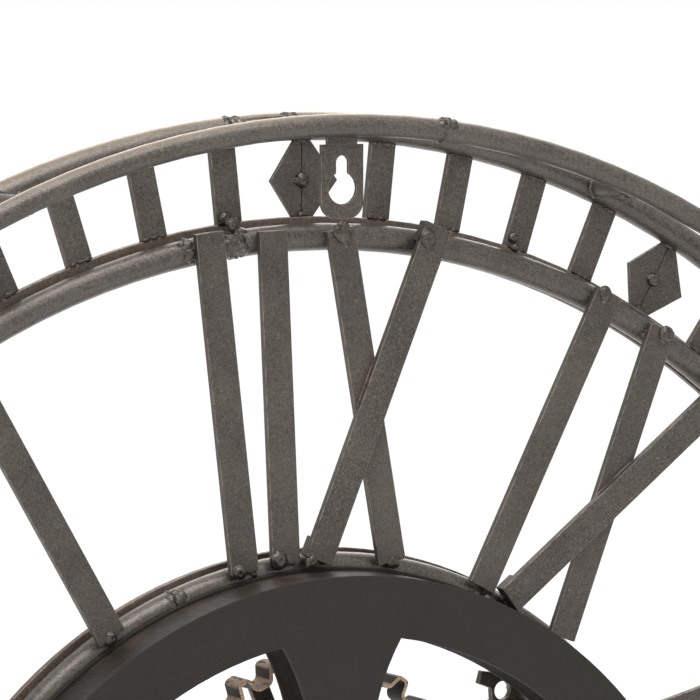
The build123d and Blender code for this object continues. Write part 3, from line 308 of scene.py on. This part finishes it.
looks = {
    # ring_metal paints a highlight on the tubes' tops and shade under them
    "ring_metal": antique_metal(
        "ring_metal", (0.044, 0.037, 0.031), (0.155, 0.137, 0.119), BEIGE, BROWN, patch_share=0.35,
        wear=0.5, grain=0.4, rough=(0.30, 0.46), metallic=0.6, seed=1.0, painted_light_and_shade=0.5
    ),
    "spacer_metal": taupe_metal("spacer_metal", 0.5, 0.6, 2.0),
    "strip_metal": antique_metal(
        "strip_metal", (0.060, 0.045, 0.033), (0.17, 0.135, 0.105), (0.50, 0.38, 0.27), BROWN,
        patch_share=0.8, wear=0.9, seed=3.0
    ),
    "minute_metal": taupe_metal("minute_metal", 0.2, 0.75, 4.0),
    "diamond_metal": taupe_metal("diamond_metal", 0.2, 0.7, 5.0),
    "numeral_metal": taupe_metal("numeral_metal", 0.2, 0.8, 6.0),
    "hanger_metal": taupe_metal("hanger_metal", 0.2, 0.7, 7.0),
    "disc_metal": antique_metal(
        "disc_metal", (0.0105, 0.0082, 0.0065), (0.0185, 0.0150, 0.0122), (0.15, 0.12, 0.09),
        wear=0.3, grain=0.15, rough=(0.56, 0.68), metallic=0.1, seed=8.0, specular=0.3
    ),
    "edge_metal": antique_metal(
        "edge_metal", (0.008, 0.0055, 0.004), (0.026, 0.019, 0.014), (0.26, 0.19, 0.13), BROWN,
        patch_share=0.7, wear=0.6, grain=0.35, rough=(0.56, 0.72), metallic=0.1, seed=9.0,
        streak=ALONG_DEPTH, specular=0.3
    ),
    "gear_metal": antique_metal(
        "gear_metal", (0.016, 0.013, 0.010), (0.070, 0.055, 0.042), (0.74, 0.56, 0.39), BROWN,
        patch_share=0.4, wear=1.0, grain=0.6, rough=(0.34, 0.52), metallic=0.5, seed=10.0
    ),
    "plate_gear_metal": antique_metal(
        "plate_gear_metal", (0.10, 0.075, 0.055), (0.33, 0.25, 0.18), (0.62, 0.48, 0.35), BROWN,
        patch_share=0.6, wear=1.0, seed=11.0
    ),
    "post_metal": taupe_metal("post_metal", 0.5, 0.6, 12.0),
    "gear_nut_metal": antique_metal(
        "gear_nut_metal", (0.22, 0.14, 0.07), (0.50, 0.35, 0.19), (0.80, 0.62, 0.38), BROWN,
        patch_share=0.4, wear=0.9, grain=0.4, rough=(0.28, 0.45), metallic=0.85, seed=13.0
    ),
    "case_plastic": moulded_plastic("case_plastic", (0.012, 0.012, 0.012), 0.5),
    "knob_plastic": moulded_plastic("knob_plastic", (0.022, 0.022, 0.023), 0.42),
    "wheel_plastic": moulded_plastic("wheel_plastic", (0.62, 0.60, 0.54), 0.35, 0.1),
    "brass": plain_metal("brass", (0.38, 0.26, 0.11), (0.72, 0.53, 0.25), 0.3, (1, 0.15, 1)),
    "hand_metal": antique_metal(
        "hand_metal", (0.012, 0.011, 0.010), (0.036, 0.033, 0.030), (0.24, 0.19, 0.14),
        wear=0.6, grain=0.3, rough=(0.36, 0.5), metallic=0.3, seed=14.0
    ),
    "stator_metal": plain_metal(
        "stator_metal", (0.30, 0.30, 0.31), (0.52, 0.52, 0.53), 0.34, (0.1, 1, 1)
    ),
    "winding_copper": wound_wire("winding_copper"),
    "board_green": printed_board("board_green"),
    "battery_jacket": battery_skin("battery_jacket"),
    "contact_metal": plain_metal(
        "contact_metal", (0.42, 0.41, 0.39), (0.68, 0.67, 0.65), 0.28, (1, 1, 0.1)
    ),
}
weld_look = antique_metal(
    "weld_bead_metal", (0.030, 0.025, 0.021), (0.115, 0.102, 0.090), (0.50, 0.43, 0.36), BROWN,
    patch_share=0.4, wear=0.5, grain=0.45, rough=(0.22, 0.38), metallic=0.75, seed=15.0
)
# the windows' side walls: a darker, duller copy of the edge lacquer, painted shade inside the
# openings
window_shade_look = antique_metal(
    "window_wall_painted_shade", (0.004, 0.0022, 0.0014), (0.014, 0.009, 0.006), (0.20, 0.14, 0.09), BROWN,
    patch_share=0.3, wear=0.5, grain=0.35, rough=(0.72, 0.90), metallic=0.0, seed=17.0,
    streak=ALONG_DEPTH, specular=0.08
)
# the numeral tubes get a faint painted highlight on top and painted shade underneath
numeral_tube_look = antique_metal(
    "numeral_tube_metal", (0.040, 0.034, 0.029), (0.155, 0.139, 0.122), BEIGE, BROWN,
    patch_share=0.35, wear=0.5, grain=0.4, rough=(0.28, 0.44), metallic=0.65, seed=21.0, painted_light_and_shade=0.08
)
# near-black for the painted shade in the diamonds' creases
crease_shade_look = antique_metal(
    "crease_painted_shade", (0.006, 0.004, 0.003), (0.018, 0.013, 0.010), (0.06, 0.045, 0.03),
    wear=0.3, grain=0.4, rough=(0.5, 0.7), metallic=0.1, seed=16.0, specular=0.2
)

slot_of = {entry["node"]: entry["material_slot"] for entry in frame["record"]["subparts"]}
for node_name, node in frame["nodes"].items():
    node.data.materials.clear()
    node.data.materials.append(looks[slot_of[node_name]])
# the folded gears' centres (x, z), as in the CAD
STRIP_GEARS = {"large": (-8.0, 85.5), "medium": (82.3, -47.5), "small": (-90.9, -52.5)}
for look_seed, (gear_name, gear_centre) in enumerate(STRIP_GEARS.items(), 18):
    rim = frame["nodes"][f"strip_gear_{gear_name}_rim"]
    rim.data.materials[0] = gear_strip(f"gear_strip_{gear_name}", gear_centre, look_seed)
# painted shade on the windows' side walls
frame["nodes"]["disc_window_bands"].data.materials[0] = window_shade_look
for tube_name in ("middle_ring_tube", "inner_ring_tube"):
    frame["nodes"][tube_name].data.materials[0] = numeral_tube_look
frame["nodes"]["plate_gear_rim"].data.materials[0] = looks["gear_metal"]


# ---------------------------------------------------------------- welds
# Lengths are in mm, depths run along Y, and angles run clockwise from 12 o'clock, as in the CAD.
def heading(hour_angle):
    """The way from the axis toward an angle of the dial."""
    turn = math.radians(hour_angle)
    return Vector((math.sin(turn), 0, math.cos(turn)))


def at(radius, hour_angle, depth):
    """A point in metres from a radius, an angle and a depth."""
    return (heading(hour_angle) * radius + Vector((0, depth, 0))) * MM


# the tubes: (ring radius to the tube's centre, tube radius, depth of the centre)
BACK_TUBE = (395.0, 5.0, 26.0)
FRONT_TUBE = (393.65, 6.35, -12.3)
MIDDLE_TUBE = (345.4, 6.0, -3.8)
INNER_TUBE = (200.5, 6.0, -3.8)
# welds stay just in front of the wall
DEEPEST = 30.95


def on_ring(ring, hour_angle, around, height=0.0):
    """A point on a tube; around runs in degrees from its outermost line over its back."""
    ring_radius, tube_radius, ring_depth = ring
    turn = math.radians(around)
    radius = ring_radius + (tube_radius + height) * math.cos(turn)
    depth = ring_depth + (tube_radius + height) * math.sin(turn)
    return at(radius, hour_angle, min(depth, DEEPEST))


def put_in_scene(name, mesh, look):
    """Makes a mesh object of a bmesh and frees the bmesh."""
    data = bpy.data.meshes.new(name)
    mesh.to_mesh(data)
    mesh.free()
    data.materials.append(look)
    piece = bpy.data.objects.new(name, data)
    bpy.context.collection.objects.link(piece)
    return piece


class Beads:
    """Irregular molten blobs gathered into one mesh."""

    COLLAR_ROWS = 8
    COLLAR_TURN = 8
    COLLAR_WIDTH = 2.6
    COLLAR_PROUD = 0.55
    COLLAR_SUNK = 0.25

    def __init__(self, seed):
        self.mesh = bmesh.new()
        self.random = random.Random(seed)

    def shift(self):
        """A place in the noise that no other blob uses."""
        return Vector([self.random.uniform(-50, 50) for _ in range(3)])

    def blob(self, centre, size, turn=0.0, detail=3):
        """One blob at a point in metres; size is its half-lengths across, in depth and along."""
        made = bmesh.ops.create_icosphere(self.mesh, subdivisions=detail, radius=1.0)["verts"]
        shift = self.shift()
        spin = Matrix.Rotation(math.radians(turn), 3, "Y")
        for vertex in made:
            direction = vertex.co.normalized()
            lump = 1.0 + 0.24 * noise.noise(direction * 1.5 + shift)
            lump += 0.04 * noise.noise(direction * 4 + shift)
            vertex.co = centre + spin @ (direction * Vector(size)) * lump * MM

    def nugget(self, centre, size, turn=0.0, tail=0.0):
        """A round drop with rings frozen in it and a pit near the middle, and perhaps a tail."""
        pick = self.random
        made = bmesh.ops.create_icosphere(self.mesh, subdivisions=4, radius=1.0)["verts"]
        shift = self.shift()
        pit = Vector((pick.uniform(-0.25, 0.25), 1.0, pick.uniform(-0.25, 0.25))).normalized()
        stretch = pick.uniform(0.9, 1.15)
        for vertex in made:
            direction = vertex.co.normalized()
            away = direction.angle(pit)
            lump = 1.0 + 0.20 * noise.noise(direction * 1.5 + shift)
            lump += 0.05 * noise.noise(direction * 6 + shift)
            # frozen rings, the pit, and the raised lip round it
            lump += 0.035 * math.sin(away * 11.0)
            lump -= 0.30 * math.exp(-((away / 0.20) ** 2))
            lump += 0.10 * math.exp(-(((away - 0.42) / 0.14) ** 2))
            vertex.co = centre + direction * Vector((1.0, 0.58, stretch)) * size * lump * MM
        steps = int(tail / 1.2)
        for step in range(steps):
            share = (step + 1) / steps
            reach = size * 0.7 + tail * share
            wide = size * (0.50 - 0.24 * share) * pick.uniform(0.9, 1.1)
            place = centre + (heading(turn) * reach + Vector((0, -0.12 * size * share, 0))) * MM
            self.blob(place, (wide, wide * 0.55, wide * 1.25), turn + pick.uniform(-12, 12), 2)

    def patch(self, ring, hour_angle, around, wide, spread, count, drop=(1.6, 2.8), sunk=0.5):
        """Rough weld run over a tube: drops sunk into it, over a width along the tube and a spread
        in degrees round it; their centres lie under its wall by a share of their size."""
        pick = self.random
        for _ in range(count):
            angle = hour_angle + math.degrees(pick.uniform(-0.5, 0.5) * wide / ring[0])
            size = pick.uniform(*drop)
            place = on_ring(ring, angle, around + pick.uniform(-0.5, 0.5) * spread, -sunk * size)
            self.blob(place, (size * pick.uniform(1.0, 1.3), size, size), pick.uniform(0, 180), 3)

    def collar(self, ring, hour_angle):
        """A butt weld right round a tube: a low rippled band, its borders sunk in the tube."""
        shift = self.shift()
        swell = self.COLLAR_PROUD + self.COLLAR_SUNK
        rows = []
        for step in range(self.COLLAR_ROWS + 1):
            along = step / self.COLLAR_ROWS - 0.5
            row = []
            for turn in range(0, 360, self.COLLAR_TURN):
                bend = math.radians(turn)
                spot = Vector((math.cos(bend), math.sin(bend), along * 2))
                ripple = noise.noise(spot * 2.4 + shift)
                way = self.COLLAR_WIDTH * (along + 0.16 * ripple)
                angle = hour_angle + math.degrees(way / ring[0])
                height = swell * math.cos(math.pi * along) * (1 + 0.9 * ripple) - self.COLLAR_SUNK
                row.append(self.mesh.verts.new(on_ring(ring, angle, turn, height)))
            rows.append(row)
        for first, second in zip(rows, rows[1:]):
            for index in range(len(first)):
                after = (index + 1) % len(first)
                self.mesh.faces.new((first[index], first[after], second[after], second[index]))

    def spatter(self, centre, reach, count):
        """Fine balls of metal thrown on the face round a weld."""
        pick = self.random
        for _ in range(count):
            turn, far = pick.uniform(0, 2 * math.pi), reach * pick.uniform(0.4, 1.0)
            ball = pick.uniform(0.25, 0.55)
            place = centre + Vector((math.cos(turn), 0, math.sin(turn))) * far * MM
            self.blob(place, (ball, ball * 0.7, ball), 0.0, 1)

    def seam(self, start, end, width, depth, count):
        """A run of overlapping ripples from one point to another."""
        pick = self.random
        along = (end - start).normalized()
        turn = math.degrees(math.atan2(along.x, along.z))
        for step in range(count):
            share = (step + 0.5) / count
            stray = Vector([pick.uniform(-0.5, 0.5) for _ in range(3)])
            place = start.lerp(end, share) + stray * MM
            wide = width * pick.uniform(0.75, 1.15)
            self.blob(place, (wide, depth * pick.uniform(0.8, 1.1), wide * 0.75), turn, 2)

    def done(self, name):
        """Puts the welds in the scene, as one smooth piece on the frame."""
        piece = put_in_scene(name, self.mesh, weld_look)
        for face in piece.data.polygons:
            face.use_smooth = True
        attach(piece, "frame")


# Numerals, as in the CAD: each letter's half width and the spread of its slanting strokes, at its
# outer and its inner end; and the strokes of the two numerals beside the hanger, which stand off
# the regular layout, as (x at the outer end, x at the inner end, lies over the others).
LETTER_HALF_SPACE = {"I": (15.6, 10.65), "V": (42.4, 24.1), "X": (42.4, 24.1)}
LETTER_SPREAD = {"V": (24.4, 6.5), "X": (24.4, -17.4)}
NUMERALS = ["I", "II", "III", "IIII", "V", "VI", "VII", "VIII", "IX", "X", "XI", "XII"]
STROKES_BY_HAND = {
    11: [(-5.4, -27.0, False), (-54.1, 4.6, True), (28.2, 21.9, False)],
    12: [(-10.05, -34.7, False), (-58.85, 0.1, True), (23.6, 17.45, False), (54.8, 38.75, False)],
}
# the heights of the strokes' ends, the depth of their backs, and the lift of one over the others
OUTER, INNER = 350.0, 210.0
BAR_BACK = 5.2
BAR_LIFT = 3.0


def strokes(hour):
    """The strokes of one numeral, as the CAD lays them out."""
    if hour in STROKES_BY_HAND:
        return STROKES_BY_HAND[hour]
    letters = NUMERALS[hour - 1]
    cursor = [-sum(LETTER_HALF_SPACE[letter][end] for letter in letters) for end in (0, 1)]
    found = []
    for letter in letters:
        centre = [cursor[end] + LETTER_HALF_SPACE[letter][end] for end in (0, 1)]
        cursor = [centre[end] + LETTER_HALF_SPACE[letter][end] for end in (0, 1)]
        if letter == "I":
            found.append((centre[0], centre[1], False))
        else:
            spread = LETTER_SPREAD[letter]
            found.append((centre[0] + spread[0], centre[1] + spread[1], False))
            found.append((centre[0] - spread[0], centre[1] - spread[1], letter == "X"))
    return found


def on_stroke(hour, stroke, height, aside, depth):
    """A point in metres on a stroke, from its height above the axis, way aside and depth."""
    share = (height - INNER) / (OUTER - INNER)
    x = stroke[1] + (stroke[0] - stroke[1]) * share + aside
    upward, sideways = heading(HOUR_STEP * hour), heading(HOUR_STEP * hour + 90)
    return (sideways * x + upward * height + Vector((0, depth, 0))) * MM


# drops on the two numerals beside the hanger, placed one by one: (x, z, depth, size, turn, tail)
NUGGETS_BY_HAND = {
    11: [
        (-86.5, 180.7, 3.6, 2.4, 0, 0),
        (-94.4, 181.1, 3.4, 2.0, 0, 0),
        (-79.0, 185.0, 2.2, 1.4, 0, 0),
    ],
    12: [
        (-10.8, 347.6, 5.0, 4.3, 200, 4.0),
        (-52.4, 343.8, 7.7, 4.0, 190, 5.0),
        (41.4, 352.2, 0.6, 3.0, 0, 0),
        (40.7, 201.4, 4.9, 3.3, 0, 0),
        (31.8, 199.6, 2.4, 1.5, 0, 0),
        (20.9, 205.4, 4.9, 4.2, 0, 0),
        (5.9, 203.6, 7.2, 3.2, 60, 0),
        (-37.2, 200.9, 4.7, 3.2, 0, 0),
    ],
}
chance = random.Random(12)
for hour in range(1, HOURS + 1):
    beads = Beads(100 + hour)
    for x, z, depth, size, turn, tail in NUGGETS_BY_HAND.get(hour, []):
        beads.nugget(Vector((x, depth, z)) * MM, size, turn, tail)
    if hour == 12:
        # a spur drawn out of one drop, and rough runs of weld on either side of the last stroke
        for step in range(6):
            thin = 1.3 - 0.19 * step
            place = Vector((-13.2 - 1.4 * step, 5.6, 348.6 + 0.36 * step)) * MM
            beads.blob(place, (1.2, thin * 0.7, thin), 0, 2)
        beads.patch(MIDDLE_TUBE, 10.2, 62, 8.0, 80, 16)
        beads.patch(MIDDLE_TUBE, 10.1, 110, 4.0, 60, 6, (1.2, 2.0))
        beads.patch(MIDDLE_TUBE, 6.7, 70, 10.0, 100, 24)
        beads.patch(MIDDLE_TUBE, 6.9, 118, 12.0, 60, 14, (1.2, 2.2))
    for stroke in strokes(hour):
        depth = BAR_BACK + (BAR_LIFT if stroke[2] else 0.0)
        toward_centre = 180 + HOUR_STEP * hour
        if hour != 12:
            aside = chance.choice((-1, 1)) * chance.uniform(0, 4)
            top = on_stroke(hour, stroke, 346.0 + chance.uniform(-1.5, 1.5), aside, depth - 0.2)
            if chance.random() < 0.6:
                size = chance.uniform(3.4, 4.4)
                turn = toward_centre + chance.uniform(-25, 25)
                beads.nugget(top, size, turn, chance.uniform(2, 6))
            else:
                side = on_stroke(hour, stroke, 345.5, chance.choice((-1, 1)) * 9.0, 0.0)
                beads.patch(MIDDLE_TUBE, math.degrees(math.atan2(side.x, side.z)), 72, 6.0, 90, 14)
            if hour != 11:
                height = 204.5 - abs(stroke[1]) * 0.1
                low = on_stroke(hour, stroke, height, chance.uniform(-3.5, 3.5), depth - 0.3)
                beads.nugget(low, chance.uniform(2.6, 3.8), 0, 0)
        beads.spatter(on_stroke(hour, stroke, 338.0, 0, depth), 5.5, chance.choice((1, 2, 3)))
        side = 6.6 * chance.choice((-1, 1))
        start = on_stroke(hour, stroke, 341.0, side, depth - 3.8)
        beads.seam(start, on_stroke(hour, stroke, 346.0, side, depth - 3.2), 1.2, 1.0, 5)
    beads.done(f"welds_numeral_{hour:02d}")

# minute bars: butt welds at both ends, ground nearly flush, with a proud drop here and there
MINUTE_BAR_BACK = -9.9
MINUTE_BAR_ENDS = (354.4, 387.2)
beads = Beads(300)
for minute in range(MINUTES):
    if minute % (MINUTES // HOURS) == 0:
        continue
    for radius in MINUTE_BAR_ENDS:
        for aside in (-0.57, 0.0, 0.57):
            angle = MINUTE_STEP * minute + aside + chance.uniform(-0.15, 0.15)
            size = (chance.uniform(1.5, 2.4), 0.7, chance.uniform(0.7, 1.2))
            beads.blob(at(radius, angle, MINUTE_BAR_BACK), size, angle, 2)
        if chance.random() < 0.25:
            angle = MINUTE_STEP * minute + chance.uniform(-0.9, 0.9)
            beads.nugget(at(radius, angle, MINUTE_BAR_BACK + 0.3), chance.uniform(1.4, 2.2))
# two proud drops at the middle ring, on the bars at 6 and -18 degrees
beads.nugget(at(356.2, 6.42, -9.2), 2.8)
beads.nugget(at(358.4, -17.5, -9.4), 2.4)
beads.done("welds_minute_bars")

# diamonds: a drop in the middle of each, run out to one side, a fold line behind and welded points
beads = Beads(400)
for hour in range(HOURS):
    angle = HOUR_STEP * hour
    beads.nugget(at(369.8, angle, -11.3), 3.2, angle + 90, 2.4)
    beads.blob(at(387.6, angle, -11.8), (2.6, 1.1, 1.6), angle)
    beads.blob(at(354.8, angle, -11.0), (2.4, 0.9, 1.4), angle)
beads.done("welds_diamonds")

# painted shade in each diamond's fold: a thin dark wavy wedge along the crease
CREASE_STEPS = 30
CREASE_START, CREASE_LENGTH, CREASE_BACK, CREASE_SUNK = 348.4, 43.0, -11.93, 0.5
creases = bmesh.new()
for hour in range(HOURS):
    sideways = heading(HOUR_STEP * hour + 90)
    previous = None
    for step in range(CREASE_STEPS + 1):
        radius = CREASE_START + CREASE_LENGTH * step / CREASE_STEPS
        half = (0.22 + 0.08 * math.sin(step * 1.3)) * MM
        centre = at(radius, HOUR_STEP * hour, CREASE_BACK)
        corners = (sideways * half, -sideways * half, Vector((0, -CREASE_SUNK, 0)) * MM)
        row = [creases.verts.new(centre + corner) for corner in corners]
        if previous:
            for first, second in ((0, 1), (1, 2), (2, 0)):
                creases.faces.new((previous[first], previous[second], row[second], row[first]))
        else:
            creases.faces.new(row[::-1])
        previous = row
    creases.faces.new(previous)
bmesh.ops.recalc_face_normals(creases, faces=creases.faces)
crease_shade_piece = put_in_scene("diamond_crease_shade", creases, crease_shade_look)
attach(crease_shade_piece, "frame")

# butt joints of the rings' lengths: a rippled band, and rough metal run over part of it; for each
# ring its tube, the angle of its first joint and how far round the tube the rough metal lies
RING_JOINTS = {
    "back": (BACK_TUBE, 38.0, 30),
    "front": (FRONT_TUBE, 5.5, 55),
    "middle": (MIDDLE_TUBE, 6.8, 90),
    "inner": (INNER_TUBE, 20.2, 70),
}
SPLICE_SUNK = 0.82
for ring_name, (ring, joint, around) in RING_JOINTS.items():
    beads = Beads(600 + int(ring[0]))
    for length in range(RING_LENGTHS):
        angle = joint + LENGTH_STEP * length
        beads.collar(ring, angle)
        if length or ring_name != "middle":
            beads.patch(ring, angle - 120 / ring[0], around, 8.0, 80, 26, (1.8, 2.8), SPLICE_SUNK)
    if ring_name == "front":
        # a splice beside the 12 o'clock joint, run out along the top of the tube
        beads.patch(ring, 1.2, 55, 7.0, 60, 20, (1.6, 2.4), SPLICE_SUNK)
        for step in range(10):
            angle = 1.8 + 0.33 * step
            beads.blob(on_ring(ring, angle, 44, -0.2), (2.6, 0.4, 0.4), angle, 2)
    beads.done(f"welds_ring_{ring_name}")

# spacers, with a ring of weld round each end, and the seam along the top of the hanger plate
SPACER_ENDS = ((20.4, 394.0), (-5.4, 393.6))
SPACER_WELD_RADIUS = 4.3
beads = Beads(500)
for spacer in range(RING_LENGTHS):
    angle = LENGTH_STEP * (spacer + 0.5)
    for depth, radius in SPACER_ENDS:
        for turn in range(0, 360, 30):
            around = math.radians(turn + chance.uniform(-8, 8))
            place = at(radius + SPACER_WELD_RADIUS * math.cos(around), angle, depth)
            place += heading(angle + 90) * SPACER_WELD_RADIUS * math.sin(around) * MM
            beads.blob(place, (1.4, 1.2, 1.4), turn, 2)
beads.seam(at(390.4, -1.05, 23.6), at(390.4, 1.05, 23.6), 1.6, 1.0, 7)
beads.done("welds_spacers_hanger")


# ---------------------------------------------------------------- floor, light and camera
def white_floor():
    """A wide, matt, pale floor with a faint grain."""
    g = Graph("studio_floor")
    tone = g.mix(g.ramp(g.noise(9.0, 3.0), 0.3, 0.7), (0.90, 0.90, 0.90), (0.93, 0.93, 0.93))
    g.shader.inputs["Emission Color"].default_value = (1.0, 1.0, 1.0, 1.0)
    g.shader.inputs["Emission Strength"].default_value = 0.12
    return g.finish(tone, 0.9, None)


# the floor lies just under the clock, and is far wider than any view of it
FLOOR_HEIGHT = -0.4005
FLOOR_RADIUS = 400.0
floor_mesh = bmesh.new()
bmesh.ops.create_circle(floor_mesh, cap_ends=True, segments=96, radius=FLOOR_RADIUS)
floor = put_in_scene("studio_floor", floor_mesh, white_floor())
floor.location = (0, 0, FLOOR_HEIGHT)

world = bpy.data.worlds.new("studio")
world.use_nodes = True
background = world.node_tree.nodes["Background"]
background.inputs["Color"].default_value = (1.0, 1.0, 1.0, 1.0)
background.inputs["Strength"].default_value = 1.0
scene.world = world
scene.view_settings.view_transform = "Standard"


def aimed_along(direction):
    """The rotation of a lamp or camera that looks in a direction."""
    return direction.to_track_quat("-Z", "Y").to_euler()


def soft_light(name, place, target, size, power):
    """A rectangular area lamp aimed at a point."""
    lamp = bpy.data.lights.new(name, "AREA")
    lamp.shape = "RECTANGLE"
    lamp.size, lamp.size_y = size
    lamp.energy = power
    lamp_object = bpy.data.objects.new(name, lamp)
    lamp_object.location = place
    lamp_object.rotation_euler = aimed_along(Vector(target) - Vector(place))
    bpy.context.collection.objects.link(lamp_object)


soft_light("key_above", (0.3, 0.7, 2.4), (0.0, 0.0, 0.1), (2.2, 1.4), 55.0)
soft_light("fill_back_left", (2.2, 1.6, 0.9), (0.0, 0.0, 0.2), (1.2, 1.8), 6.0)
soft_light("fill_front", (-1.2, -2.2, 1.5), (0.0, 0.0, 0.0), (1.8, 1.8), 24.0)

camera_data = bpy.data.cameras.new("camera")
camera_data.sensor_width = 36.0
camera_data.lens = 232.5
camera_data.clip_end = 1000.0
camera = bpy.data.objects.new("camera", camera_data)
camera.location = (0.96757, 1.71678, 0.45058)
camera.rotation_euler = aimed_along(Vector((-0.4962, -0.8647, -0.0782)))
bpy.context.collection.objects.link(camera)
scene.camera = camera
